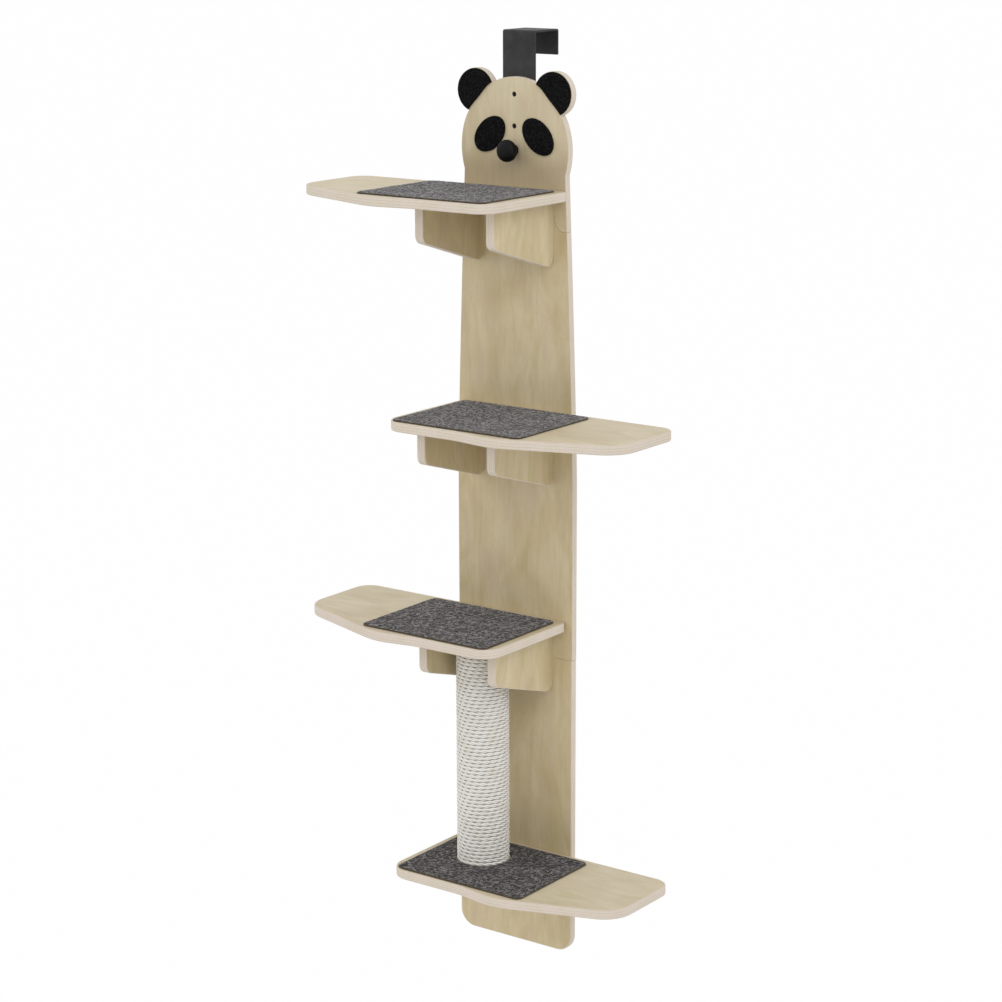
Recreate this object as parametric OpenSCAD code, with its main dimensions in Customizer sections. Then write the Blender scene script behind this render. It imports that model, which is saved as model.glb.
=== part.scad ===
// Door hanging cat climber: three joined back boards with four carpeted shelves and a rope post.
// The origin is the middle of the hook's seat on the door's top edge. +X is to the right, +Z is up,
// and the climber's front looks along -Y. All sizes are in millimetres.

/* [Hook] */
// Thickness of the door that the hook goes over, with its play
hook_gap = 56; // [36:1:70]
// Width of the hook's steel strip
hook_w = 60; // [40:1:80]
// Thickness of the hook's steel strip
hook_t = 3; // [2:0.5:5]
// Inner radius of the hook's bends
hook_bend_r = 0.5; // [0.5:0.5:6]
// Length of the back lip, down from the seat
hook_lip = 36; // [20:1:60]
// Length of the front leg, down from the seat
hook_leg = 168; // [155:1:190]
// Depth of the upper hook bolt below the seat
hook_bolt_drop = 92; // [84:1:104]
// Distance between the two hook bolts
hook_bolt_pitch = 48; // [36:1:60]

/* [Head] */
// Depth of the head's crown below the hook's seat
crown_drop = 66; // [60:1:80]
// Half the width of the head's oval
head_a = 100; // [90:1:110]
// Half the height of the head's oval
head_b = 108; // [98:1:114]
// How much the head is drawn in beside the ears
head_flank = 0.09; // [0:0.01:0.12]
// Radius of the ear lobes
ear_r = 34; // [26:1:40]
// Distance of each ear's centre from the middle
ear_x = 72; // [66:1:78]
// Height of the ears' centres above the head's centre
ear_rise = 85; // [78:1:92]
// Thickness of the felt ear and eye pads
felt_t = 3; // [2:0.5:5]
// Rim left bare round the ear pads
ear_rim = 0.8; // [0.5:0.1:3]
// Half the length of an eye pad
eye_a = 33; // [24:1:36]
// Half the width of an eye pad
eye_b = 22.5; // [15:0.5:26]
// Distance of each eye's centre from the middle
eye_x = 45; // [42:1:52]
// Height of the eyes above the head's centre
eye_rise = 20; // [14:1:26]
// Depth of the neck's upper end below the head's centre
neck_fall = 24; // [16:1:30]
// Slope of the eyes' long axes
eye_tilt = 42; // [20:1:60]
// Diameter of the nose knob
nose_d = 34; // [26:1:38]
// How far the nose stands out of the face
nose_len = 29; // [22:1:36]
// Depth of the nose's centre below the head's centre
nose_fall = 2; // [0:0.5:8]

/* [Boards] */
// Width of the back boards below the taper
board_w = 220; // [190:1:250]
// Thickness of the back boards
board_t = 12; // [10:1:16]
// Width of the board where the head's oval starts
neck_w = 188; // [176:1:196]
// Depth of the boards' lower end below the bottom shelf
foot_drop = 150; // [90:1:200]
// Radius of the lower end's corners
foot_r = 27; // [10:1:40]
// Depth of the taper's lower end below the hook's seat
taper_drop = 678; // [600:1:740]
// Depth of each seam below the shelf above it
seam_drop = 47; // [30:1:60]
// Half the width of the tongue at the upper seam
tongue_w = 75; // [50:1:80]
// Height of the tongue at the upper seam
tongue_h = 34; // [15:1:40]
// Gap left at each seam
seam_gap = 0.4; // [0.2:0.1:1]

/* [Shelves] */
// Depth of the top shelf's surface below the hook's seat
top_shelf_drop = 233; // [220:1:250]
// Distance from the top shelf to the second
pitch_1 = 340; // [300:1:380]
// Distance from the second shelf to the third
pitch_2 = 332; // [300:1:380]
// Distance from the third shelf to the bottom one
pitch_3 = 386; // [350:1:440]
// Thickness of the shelves
shelf_t = 15; // [13:1:20]
// Reach of the shelf's short side from the middle
short_reach = 100; // [94:1:120]
// Reach of the shelf's tongue from the middle
long_reach = 301; // [260:1:340]
// Depth of the shelf at its short side
shelf_d = 205; // [203:1:240]
// How far the shelf's front edge swells past that depth
swell = 13; // [4:1:18]
// Depth of the tongue
tongue_d = 152; // [140:1:185]
// Radius of the shelf's corner under the mat
shelf_r = 34; // [15:1:45]
// Radius of the tongue's front corner
tongue_r = 52; // [30:1:70]
// Radius of the tongue's back corner
back_r = 28; // [10:1:40]

/* [Mats] */
// Length of the mats along the door
mat_l = 240; // [200:1:250]
// Depth of the mats away from the door
mat_d = 190; // [150:1:192]
// Thickness of the mats
mat_t = 3; // [2:0.5:8]
// Gap between the mats and the boards
mat_back = 11; // [4:1:14]
// Distance of the mats' end from the shelf's short end
mat_inset = 12; // [6:1:18]
// Radius of the mats' corners
mat_r = 12; // [4:1:28]

/* [Brackets] */
// Thickness of the brackets
bracket_t = 15; // [12:1:20]
// Depth of the brackets away from the board
bracket_d = 153; // [120:1:180]
// Height of the brackets at their front
bracket_front_h = 58; // [45:1:75]
// Height of the brackets at the board
bracket_back_h = 104; // [85:1:120]
// Radius of the brackets' lower corners
bracket_r = 14; // [6:1:20]
// Distance between the brackets' outer faces
bracket_span = 147; // [140:1:156]

/* [Post] */
// Diameter of the post over its rope
post_d = 84; // [76:1:94]
// Distance of the post's centre from the board's face
post_back = 86; // [60:1:110]
// Diameter of the rope
rope_d = 6; // [5:0.5:7]
// Turns that the winding is drawn with
rope_turns = 24; // [12:1:24]
// Wall of the core tube
core_wall = 4; // [2:0.5:6]
// Thickness of the wooden plugs in the core's ends
plug_t = 22; // [20:1:30]

/* [Hardware] */
// Diameter of the wood screws
screw_d = 4; // [3:0.5:5]
// Diameter of the wood screws' heads
screw_head_d = 8; // [7:0.5:9]
// How far a screw reaches into the piece it holds
screw_bite = 22; // [14:1:30]
// Diameter of the hook's bolts
bolt_d = 4; // [3:0.5:5]
// Diameter of the hook bolts' heads
bolt_head_d = 7.4; // [6:0.2:8]
// Diameter of the post's bolts
post_bolt_d = 6; // [5:0.5:8]
// Outer diameter of the insert nuts in the plugs
insert_d = 10; // [9:0.5:12]
// Thickness of the joining plates
plate_t = 2; // [1.5:0.1:2.5]
// Diameter of the pads that rest on the door
pad_d = 30; // [20:1:40]

/* [Hidden] */
$fn = 64;
fit = 0.05;
play = 0.3;
cut = 1;

door_y = -hook_gap / 2;
back_y = door_y - hook_t;
face_y = back_y - board_t;
head_z = -crown_drop - head_b;
neck_z = head_z - neck_fall;
top_z = -top_shelf_drop;
second_z = top_z - pitch_1;
third_z = second_z - pitch_2;
bottom_z = third_z - pitch_3;
foot_z = bottom_z - shelf_t - foot_drop;
seam_1_z = top_z - shelf_t - seam_drop;
seam_2_z = third_z - shelf_t - seam_drop;
bracket_x = bracket_span / 2 - bracket_t / 2;
bolt_zs = [-hook_bolt_drop, -hook_bolt_drop - hook_bolt_pitch];
bolt_head_t = 2.2;
nose_z = head_z - nose_fall;
screw_head_t = (screw_head_d - screw_d) / 2;
post_r = post_d / 2;
core_r = post_r - rope_d - play;
post_y = face_y - post_back;
post_top_z = third_z - shelf_t;
post_h = post_top_z - bottom_z;
washer_d = 2.6 * post_bolt_d;
washer_t = 1.2;
post_head_d = 1.8 * post_bolt_d;
post_head_t = 3;
insert_h = 15;
plate_w = 120;
plate_h = 70;
plate_r = 8;
plate_x = 45;
plate_z = 24;

// Points of a closed outline whose corners [x, y, radius] are rounded by arcs
function unit(v) = v / norm(v);
function corner(a, b, c, steps) =
  let (p = [b[0], b[1]], u = unit([a[0], a[1]] - p), v = unit([c[0], c[1]] - p))
  let (half = acos(max(-1, min(1, u * v))) / 2, reach = b[2] / tan(half))
  let (mid = p + unit(u + v) * (b[2] / sin(half)))
  let (from = p + u * reach - mid, to = p + v * reach - mid)
  let (sweep = 180 - 2 * half, side = sign(from[0] * to[1] - from[1] * to[0]))
  [for (i = [0 : steps]) let (t = side * sweep * i / steps)
    mid + [from[0] * cos(t) - from[1] * sin(t), from[0] * sin(t) + from[1] * cos(t)]];
function rounded(pts, steps = 8) =
  [for (i = [0 : len(pts) - 1])
    let (a = pts[(i + len(pts) - 1) % len(pts)], b = pts[i], c = pts[(i + 1) % len(pts)])
    each b[2] == 0 ? [[b[0], b[1]]] : corner(a, b, c, steps)];
function oval(a, b, steps = 96) =
  [for (i = [0 : steps - 1]) [a * cos(i * 360 / steps), b * sin(i * 360 / steps)]];

// The head's outline: an oval that is drawn in a little beside the ears
flank_rise = 0.73;
flank_spread = 0.16;
function head_oval(a, b) =
  [for (p = oval(a, b))
    [p[0] * (1 - head_flank * exp(-pow((p[1] / b - flank_rise) / flank_spread, 2))), p[1]]];

// Half the back boards' width at a height: straight sides, then a taper that starts gently
taper_bend = 1.2;
function half_w(z) =
  let (u = max(0, (z + taper_drop) / (neck_z + taper_drop)))
  board_w / 2 - (board_w - neck_w) / 2 * pow(u, taper_bend);

// Draws a shape given in X and Z as a plate whose back face is at y
module upright(y, t) {
  translate([0, y, 0]) rotate([90, 0, 0]) linear_extrude(t) children();
}

// A countersunk screw with its head's face at the origin, pointing along +Z
module screw(length) {
  cylinder(d1 = screw_head_d, d2 = screw_d, h = screw_head_t);
  cylinder(d = screw_d, h = length);
}
// The hole that a screw passes: clear in the first piece, snug in the piece it bites
module screw_hole(clear_t, length) {
  translate([0, 0, -play]) cylinder(d1 = screw_head_d + 2 * play, d2 = screw_d + 2 * play, h = screw_head_t + play);
  translate([0, 0, -cut]) cylinder(d = screw_d + 2 * play, h = clear_t + cut);
  cylinder(d = screw_d + 2 * fit, h = length + play);
}
// Turns something that points along +Z to point along -Y, from the boards' back face
module from_back() {
  translate([0, back_y, 0]) rotate([90, 0, 0]) children();
}

// Places of the fasteners
shelf_zs = [top_z, second_z, third_z, bottom_z];
bracket_screw_drops = [22, bracket_back_h - 26];
shelf_screw_backs = [35, bracket_d - 38];
back_screw_xs = [-short_reach * 0.5, short_reach * 0.5];
module bracket_screw_places(z) {
  for (s = [-1, 1], d = bracket_screw_drops)
    translate([s * bracket_x, 0, z - shelf_t - d]) from_back() children();
}
module back_screw_places(z) {
  for (x = back_screw_xs)
    translate([x, 0, z - shelf_t / 2]) from_back() children();
}
module shelf_screw_places(z) {
  for (s = [-1, 1], d = shelf_screw_backs)
    translate([s * bracket_x, face_y - d, z]) rotate([180, 0, 0]) children();
}
module plate_screw_places(z) {
  for (x = [-1, 1], s = [-1, 1])
    translate([x * plate_x, plate_t, z + s * plate_z]) from_back() children();
}
board_screw_l = board_t + screw_bite;
plate_screw_l = plate_t + board_t - 3;

module all_board_holes() {
  for (z = [top_z, second_z, third_z])
    bracket_screw_places(z) screw_hole(board_t, board_screw_l);
  for (z = shelf_zs) back_screw_places(z) screw_hole(board_t, board_screw_l);
  for (z = [seam_1_z, seam_2_z])
    plate_screw_places(z) cylinder(d = screw_d + 2 * fit, h = plate_screw_l + play);
}

module door_hook() {
  outer_r = hook_bend_r + hook_t;
  lip_y = hook_gap / 2;
  profile = rounded([
    [back_y, -hook_leg, 0], [back_y, hook_t, outer_r], [lip_y + hook_t, hook_t, outer_r],
    [lip_y + hook_t, -hook_lip, 0], [lip_y, -hook_lip, 0], [lip_y, 0, hook_bend_r],
    [door_y, 0, hook_bend_r], [door_y, -hook_leg, 0]]);
  color("#3c3d3f") difference() {
    translate([-hook_w / 2, 0, 0]) rotate([90, 0, 90]) linear_extrude(hook_w) polygon(profile);
    for (z = bolt_zs) translate([0, back_y - cut, z]) rotate([-90, 0, 0])
      cylinder(d = bolt_d + 2 * fit, h = hook_t + 2 * cut);
  }
}

module hook_bolts() {
  color("#1c1c1e") for (z = bolt_zs) translate([0, face_y + play, z]) rotate([-90, 0, 0]) {
    cylinder(d = bolt_head_d, h = bolt_head_t);
    cylinder(d = bolt_d, h = board_t + hook_t - 2 * play);
  }
}

module head_outline() {
  translate([0, head_z]) polygon(head_oval(head_a, head_b));
  for (s = [-1, 1]) translate([s * ear_x, head_z + ear_rise]) circle(r = ear_r);
  steps = 8;
  zs = [for (i = [0 : steps]) seam_1_z + seam_gap / 2 + (neck_z - seam_1_z) * i / steps];
  polygon(concat([for (z = zs) [half_w(z), z]], [for (i = [steps : -1 : 0]) [-half_w(zs[i]), zs[i]]]));
}

tongue_top_r = 16;
tongue_root_r = 18;
// Top edge of the middle board with its tongue, from right to left, grown by a margin
function tongue_edge(margin) =
  let (w = tongue_w + margin, root = seam_1_z - seam_gap / 2 + margin, reach = w + 2 * tongue_root_r)
  rounded([[reach, root, 0], [w, root, tongue_root_r], [w, root + tongue_h, tongue_top_r],
    [-w, root + tongue_h, tongue_top_r], [-w, root, tongue_root_r], [-reach, root, 0]]);

module head_board() {
  color("#d9c7a0") difference() {
    upright(back_y, board_t) difference() {
      head_outline();
      polygon(concat(tongue_edge(seam_gap), [for (s = [-1, 1]) [s * neck_w / 2, seam_1_z - cut]]));
    }
    all_board_holes();
    for (z = bolt_zs) translate([0, face_y - cut, z]) rotate([-90, 0, 0]) {
      cylinder(d = bolt_head_d + 2 * play, h = bolt_head_t + 2 * play + cut);
      cylinder(d = bolt_d + 2 * play, h = board_t + 2 * cut);
    }
    translate([0, 0, nose_z]) from_back() screw_hole(board_t, board_t + cut);
  }
}

module middle_board() {
  low = seam_2_z + seam_gap / 2;
  high = seam_1_z - seam_gap / 2;
  bend = -taper_drop;
  steps = 12;
  zs = concat([low], [for (i = [0 : steps]) bend + (high - bend) * i / steps]);
  n = len(zs);
  color("#d9c7a0") difference() {
    upright(back_y, board_t)
      polygon(concat([for (z = zs) [half_w(z), z]], tongue_edge(0),
        [for (i = [n - 1 : -1 : 0]) [-half_w(zs[i]), zs[i]]]));
    all_board_holes();
  }
}

module lower_board() {
  w = board_w / 2;
  high = seam_2_z - seam_gap / 2;
  color("#d9c7a0") difference() {
    upright(back_y, board_t)
      polygon(rounded([[-w, high, 0], [w, high, 0], [w, foot_z, foot_r], [-w, foot_z, foot_r]]));
    all_board_holes();
  }
}

module ear_pad(s) {
  color("#17171a") upright(face_y, felt_t) difference() {
    translate([s * ear_x, head_z + ear_rise]) circle(r = ear_r - ear_rim);
    translate([0, head_z]) polygon(head_oval(head_a + ear_rim, head_b + ear_rim));
  }
}
module left_ear_pad() ear_pad(-1);
module right_ear_pad() ear_pad(1);

module eye_pad(s) {
  color("#17171a") upright(face_y, felt_t)
    translate([s * eye_x, head_z + eye_rise]) rotate(-s * eye_tilt) polygon(oval(eye_a, eye_b, 64));
}
module left_eye_pad() eye_pad(-1);
module right_eye_pad() eye_pad(1);

nose_screw_bite = 16;
// A turned knob: a straight neck and a domed cap
module nose_knob() {
  r = nose_d / 2;
  foot_radius = r * 0.5;
  waist_r = r * 0.46;
  cap_t = nose_len * 0.62;
  profile = rounded([
    [0, 0, 0], [foot_radius, 0, 0], [waist_r, nose_len - cap_t, 2],
    [r, nose_len - cap_t, 6], [r, nose_len, 9], [0, nose_len, 0]]);
  color("#1e1f24") translate([0, face_y, nose_z]) rotate([90, 0, 0]) difference() {
    rotate_extrude() polygon(profile);
    translate([0, 0, -cut]) cylinder(d = screw_d + 2 * fit, h = nose_screw_bite + play + cut);
  }
}
module nose_screw() {
  color("silver") translate([0, 0, nose_z]) from_back() screw(board_t + nose_screw_bite);
}

// Plan of a shelf with its tongue to the right, its back edge on the board's face
swell_start = 0.4;
swell_top = 1.12;
shelf_plan = rounded([
  [-short_reach, 0, 10], [-short_reach, -shelf_d, shelf_r],
  [short_reach * swell_start, -shelf_d, 140], [short_reach * swell_top, -shelf_d - swell, 100],
  [long_reach, -tongue_d, tongue_r], [long_reach, 0, back_r]], 10);

module shelf(z, side, has_brackets = true, post_from_below = false, post_from_above = false) {
  color("#dcc9a4") difference() {
    translate([0, face_y, z - shelf_t]) mirror([side < 0 ? 1 : 0, 0, 0])
      linear_extrude(shelf_t) polygon(shelf_plan);
    back_screw_places(z) screw_hole(board_t, board_screw_l);
    if (has_brackets) shelf_screw_places(z) screw_hole(shelf_t, shelf_t + cut);
    if (post_from_above) translate([0, post_y, z - shelf_t - cut]) {
      cylinder(d = post_bolt_d + 2 * play, h = shelf_t + 2 * cut);
      translate([0, 0, shelf_t + cut - post_head_t - washer_t - play])
        cylinder(d = washer_d + 2 * play, h = post_head_t + washer_t + play + cut);
    }
    if (post_from_below) translate([0, post_y, z - shelf_t - cut]) {
      cylinder(d = post_bolt_d + 2 * play, h = shelf_t + 2 * cut);
      cylinder(d = washer_d + 2 * play, h = post_head_t + washer_t + play + cut);
    }
  }
}
module top_shelf() shelf(top_z, -1);
module second_shelf() shelf(second_z, 1);
module third_shelf() shelf(third_z, -1, post_from_above = true);
module bottom_shelf() shelf(bottom_z, 1, has_brackets = false, post_from_below = true);

module mat(z, side, post_hole = false) {
  x0 = mat_inset - short_reach;
  y0 = -mat_back;
  plan = rounded([[x0, y0, mat_r], [x0, y0 - mat_d, mat_r],
    [x0 + mat_l, y0 - mat_d, mat_r], [x0 + mat_l, y0, mat_r]], 6);
  color("#5b575c") difference() {
    translate([0, face_y, z]) mirror([side < 0 ? 1 : 0, 0, 0]) linear_extrude(mat_t) polygon(plan);
    if (post_hole) translate([0, post_y, z - cut])
      cylinder(r = post_r + 1, h = mat_t + 2 * cut);
  }
}
module top_mat() mat(top_z, -1);
module second_mat() mat(second_z, 1);
module third_mat() mat(third_z, -1);
module bottom_mat() mat(bottom_z, 1, post_hole = true);

module bracket(z, s) {
  high = z - shelf_t;
  side = rounded([[face_y, high, 0], [face_y - bracket_d, high, 0],
    [face_y - bracket_d, high - bracket_front_h, bracket_r], [face_y, high - bracket_back_h, bracket_r]]);
  color("#cdb98f") difference() {
    translate([s * bracket_x - bracket_t / 2, 0, 0]) rotate([90, 0, 90])
      linear_extrude(bracket_t) polygon(side);
    bracket_screw_places(z) screw_hole(board_t, board_screw_l);
    shelf_screw_places(z) screw_hole(shelf_t, shelf_t + screw_bite);
  }
}
module top_left_bracket() bracket(top_z, -1);
module top_right_bracket() bracket(top_z, 1);
module second_left_bracket() bracket(second_z, -1);
module second_right_bracket() bracket(second_z, 1);
module third_left_bracket() bracket(third_z, -1);
module third_right_bracket() bracket(third_z, 1);

module bracket_screws() {
  color("silver") for (z = [top_z, second_z, third_z])
    bracket_screw_places(z) screw(board_screw_l);
}
module shelf_top_screws() {
  color("silver") for (z = [top_z, second_z, third_z])
    shelf_screw_places(z) screw(shelf_t + screw_bite);
}
module shelf_back_screws() {
  color("silver") for (z = shelf_zs) back_screw_places(z) screw(board_screw_l);
}

module joining_plate(z) {
  w = plate_w / 2;
  h = plate_h / 2;
  color("silver") difference() {
    upright(back_y + plate_t, plate_t) translate([0, z])
      polygon(rounded([[-w, -h, plate_r], [w, -h, plate_r], [w, h, plate_r], [-w, h, plate_r]]));
    plate_screw_places(z) screw_hole(plate_t, plate_t + cut);
  }
}
module upper_joining_plate() joining_plate(seam_1_z);
module lower_joining_plate() joining_plate(seam_2_z);
module joining_screws() {
  color("silver") for (z = [seam_1_z, seam_2_z]) plate_screw_places(z) screw(plate_screw_l);
}

// Soft pads that keep the boards as far from the door as the hook's leg does
pad_edge = 6;
module door_pads() {
  x = board_w / 2 - pad_d / 2 - pad_edge;
  color("#2a2a2c") for (s = [-1, 1], z = [second_z + seam_drop, seam_2_z + 2 * pad_d, foot_z + foot_r + pad_d])
    translate([s * x, back_y, z]) rotate([-90, 0, 0]) cylinder(d = pad_d, h = hook_t);
}

module post_core() {
  color("#b79a6d") translate([0, post_y, bottom_z]) difference() {
    cylinder(r = core_r, h = post_h);
    translate([0, 0, -cut]) cylinder(r = core_r - core_wall, h = post_h + 2 * cut);
  }
}

module plug(z, up) {
  color("#c8ad80") translate([0, post_y, z]) mirror([0, 0, up ? 0 : 1]) difference() {
    cylinder(r = core_r - core_wall - fit, h = plug_t);
    translate([0, 0, -cut]) cylinder(d = insert_d + 2 * fit, h = insert_h + play + cut);
  }
}
module post_top_plug() plug(post_top_z, false);
module post_bottom_plug() plug(bottom_z, true);
module insert_nut() {
  difference() {
    cylinder(d = insert_d, h = insert_h);
    translate([0, 0, -cut]) cylinder(d = post_bolt_d + 2 * fit, h = insert_h + 2 * cut);
  }
}
module post_insert_nuts() {
  color("silver") {
    translate([0, post_y, bottom_z]) insert_nut();
    translate([0, post_y, post_top_z - insert_h]) insert_nut();
  }
}
post_bolt_l = shelf_t - post_head_t + insert_h - 2;
module post_bolt() {
  cylinder(d = post_head_d, h = post_head_t);
  cylinder(d = post_bolt_d, h = post_bolt_l);
}
module post_top_bolt() {
  color("silver") translate([0, post_y, third_z - play / 2]) rotate([180, 0, 0]) post_bolt();
}
module post_bottom_bolt() {
  color("silver") translate([0, post_y, bottom_z - shelf_t + play / 2]) post_bolt();
}
module washer() {
  difference() {
    cylinder(d = washer_d, h = washer_t);
    translate([0, 0, -cut]) cylinder(d = post_bolt_d + 2 * play, h = washer_t + 2 * cut);
  }
}
module post_washers() {
  color("silver") {
    translate([0, post_y, third_z - play / 2 - post_head_t - washer_t]) washer();
    translate([0, post_y, bottom_z - shelf_t + play / 2 + post_head_t]) washer();
  }
}

// The winding is one unbroken flattened tube in a helix, with a straight stretch at each end
ring_steps = 24;
rope_r = post_r - rope_d / 2;
rope_end_gap = play;
row_gap = 0.6;
row_pitch = (post_h - 2 * rope_end_gap + row_gap) / (rope_turns + 1);
row_h = row_pitch - row_gap;
rope_rings = rope_turns * ring_steps;
rope_low = bottom_z + rope_end_gap + row_h / 2;
function rope_angle(i) = -90 + i * 360 / ring_steps;
function rope_at(i) =
  let (a = rope_angle(i))
  [rope_r * cos(a), post_y + rope_r * sin(a), rope_low + row_pitch * i / ring_steps];
function rope_out(i) = [cos(rope_angle(i)), sin(rope_angle(i)), 0];
function rope_along(i) = [-sin(rope_angle(i)), cos(rope_angle(i)), 0];
// Section points: flat on the core's side, tall as a row
rope_section = [
  for (p = [[-1, -0.5], [-0.2, -1], [1, -0.55], [1, 0.55], [-0.2, 1], [-1, 0.5]])
    [p[0] * rope_d / 2, p[1] * row_h / 2]];
function rope_ring(i, shift) =
  [for (s = rope_section)
    rope_at(i) + rope_out(i) * s[0] + [0, 0, s[1]] + rope_along(i) * shift];
rope_points = [
  each rope_ring(0, -rope_d), for (i = [0 : rope_rings]) each rope_ring(i, 0),
  each rope_ring(rope_rings, rope_d)];
rope_rows = rope_rings + 3;
sides = len(rope_section);
rope_faces = [
  for (i = [0 : rope_rows - 2], j = [0 : sides - 1])
    let (a = i * sides + j, b = i * sides + (j + 1) % sides)
    each [[a, b, a + sides], [b, b + sides, a + sides]],
  for (j = [1 : sides - 2]) [0, j + 1, j],
  let (e = (rope_rows - 1) * sides) for (j = [1 : sides - 2]) each [[e, e + j, e + j + 1]]];
// Least gap between a row and the row above it, over all the section's points
least_gap = min([for (i = [0 : rope_rings - ring_steps], s = rope_section, t = rope_section)
  norm(rope_at(i + ring_steps) + rope_out(i) * t[0] + [0, 0, t[1]]
    - rope_at(i) - rope_out(i) * s[0] - [0, 0, s[1]])]);
echo(least_gap_between_rope_rows = least_gap);
module post_rope() {
  color("#e0ddd5") polyhedron(rope_points, rope_faces, convexity = 4);
}

door_hook();
hook_bolts();
head_board();
middle_board();
lower_board();
left_ear_pad();
right_ear_pad();
left_eye_pad();
right_eye_pad();
nose_knob();
nose_screw();
top_shelf();
second_shelf();
third_shelf();
bottom_shelf();
top_mat();
second_mat();
third_mat();
bottom_mat();
top_left_bracket();
top_right_bracket();
second_left_bracket();
second_right_bracket();
third_left_bracket();
third_right_bracket();
bracket_screws();
shelf_top_screws();
shelf_back_screws();
upper_joining_plate();
lower_joining_plate();
joining_screws();
door_pads();
post_core();
post_rope();
post_top_plug();
post_bottom_plug();
post_insert_nuts();
post_top_bolt();
post_bottom_bolt();
post_washers();
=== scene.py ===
"""Door hanging cat climber: plywood boards and shelves, carpet mats, a rope post and a panda head."""
import math

import bmesh
import bpy
import numpy as np
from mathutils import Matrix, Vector, noise


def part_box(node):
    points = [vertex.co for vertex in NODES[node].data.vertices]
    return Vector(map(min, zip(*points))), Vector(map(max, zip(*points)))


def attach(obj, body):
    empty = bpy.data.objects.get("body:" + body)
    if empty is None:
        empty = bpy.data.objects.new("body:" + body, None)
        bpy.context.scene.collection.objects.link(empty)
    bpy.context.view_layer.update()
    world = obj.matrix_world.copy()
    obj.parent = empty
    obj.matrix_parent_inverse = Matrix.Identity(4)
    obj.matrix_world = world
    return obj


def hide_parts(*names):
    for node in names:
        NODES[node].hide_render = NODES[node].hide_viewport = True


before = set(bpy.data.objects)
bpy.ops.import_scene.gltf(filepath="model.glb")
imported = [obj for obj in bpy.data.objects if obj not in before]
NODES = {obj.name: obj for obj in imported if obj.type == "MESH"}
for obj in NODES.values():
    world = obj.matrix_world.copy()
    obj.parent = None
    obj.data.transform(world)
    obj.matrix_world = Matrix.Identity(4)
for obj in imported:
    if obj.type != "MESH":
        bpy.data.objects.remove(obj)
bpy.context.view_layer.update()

MM = 0.001
SIDES = {"left": -1, "right": 1}
BRACKETED = ("top", "second", "third")
LOW, HIGH = 0, 1


# Places and sizes, in millimetres, read from the CAD pieces

def end_of(node_name, end, axis):
    """Where a CAD piece begins (LOW) or stops (HIGH) along an axis."""
    return round(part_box(node_name)[end]["xyz".index(axis)] / MM, 2)


def middle_of(node_name, axis):
    """The middle of a CAD piece along an axis."""
    return (end_of(node_name, LOW, axis) + end_of(node_name, HIGH, axis)) / 2


def size_of(node_name, axis):
    """How long a CAD piece is along an axis."""
    return end_of(node_name, HIGH, axis) - end_of(node_name, LOW, axis)


BACK_Y = end_of("head_board", HIGH, "y")
FACE_Y = end_of("head_board", LOW, "y")
BOARD_T = BACK_Y - FACE_Y
SHELF_TOPS = {which: end_of(f"{which}_shelf", HIGH, "z") for which in (*BRACKETED, "bottom")}
SHELF_T = size_of("top_shelf", "z")
BRACKET_X = middle_of("top_right_bracket", "x")
BRACKET_T = size_of("top_right_bracket", "x")
SEAMS = (middle_of("upper_joining_plate", "z"), middle_of("lower_joining_plate", "z"))
PLATE_T = size_of("upper_joining_plate", "y")
POST_Y = middle_of("post_core", "y")
POST_R = end_of("post_rope", HIGH, "x")
NOSE_Z = middle_of("nose_knob", "z")
NOSE_R = end_of("nose_knob", HIGH, "x")
NOSE_OUT = FACE_Y - end_of("nose_knob", LOW, "y")

# Sizes that the frame can't tell, in millimetres
HOOK_BOLTS_Z = (-92.0, -140.0)
MAT_CORNER = 12.0
BARE_AT_POST = 1.0
ROPE_D = 6.0
ROPE_PRESS = 0.36
ROPE_ROWS = 61
ROPE_REST = 0.3
EAR_PAD = (66.4, 66.4)
EYE_PAD = (66.0, 45.0)

# Sizes in metres, as noise and attributes want them
CARPET_TUFT = 0.0038
FELT_SET_BACK = 0.00012
FELT_RIPPLES = ((420, 0.00010), (1100, 0.00008))


# Node helpers

def feed(tree, node, inputs):
    """Links or sets a node's inputs."""
    for key, value in inputs.items():
        if isinstance(value, bpy.types.NodeSocket):
            tree.links.new(value, node.inputs[key])
        else:
            node.inputs[key].default_value = value


def put(tree, kind, inputs=None, **settings):
    """Adds a node, sets its properties, and links or sets its inputs."""
    made = tree.nodes.new(kind)
    for key, value in settings.items():
        setattr(made, key, value)
    feed(tree, made, inputs or {})
    return made


def sums(tree, operation, a, b=0.0, clamp=False):
    """The result of one Math node."""
    return put(tree, "ShaderNodeMath", {0: a, 1: b}, operation=operation, use_clamp=clamp).outputs[0]


def weighed(tree, a, share, b):
    """Two values added: a by its share, and b by the rest."""
    return sums(tree, "ADD", sums(tree, "MULTIPLY", a, share), sums(tree, "MULTIPLY", b, 1 - share))


def blend(tree, share, a, b):
    """Colour a turned towards colour b."""
    return put(tree, "ShaderNodeMix", {0: share, 6: a, 7: b}, data_type="RGBA").outputs[2]


def spread(tree, value, low, high, to_low=0.0, to_high=1.0):
    """A value's range brought to another range, with soft ends."""
    return put(tree, "ShaderNodeMapRange",
               {0: value, 1: low, 2: high, 3: to_low, 4: to_high},
               interpolation_type="SMOOTHSTEP").outputs[0]


def srgb(r, g, b):
    """A colour written as 0 to 255 screen values, as the shader wants it."""
    def linear(v):
        v /= 255
        return v / 12.92 if v <= 0.04045 else ((v + 0.055) / 1.055) ** 2.4
    return (linear(r), linear(g), linear(b), 1.0)


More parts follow.
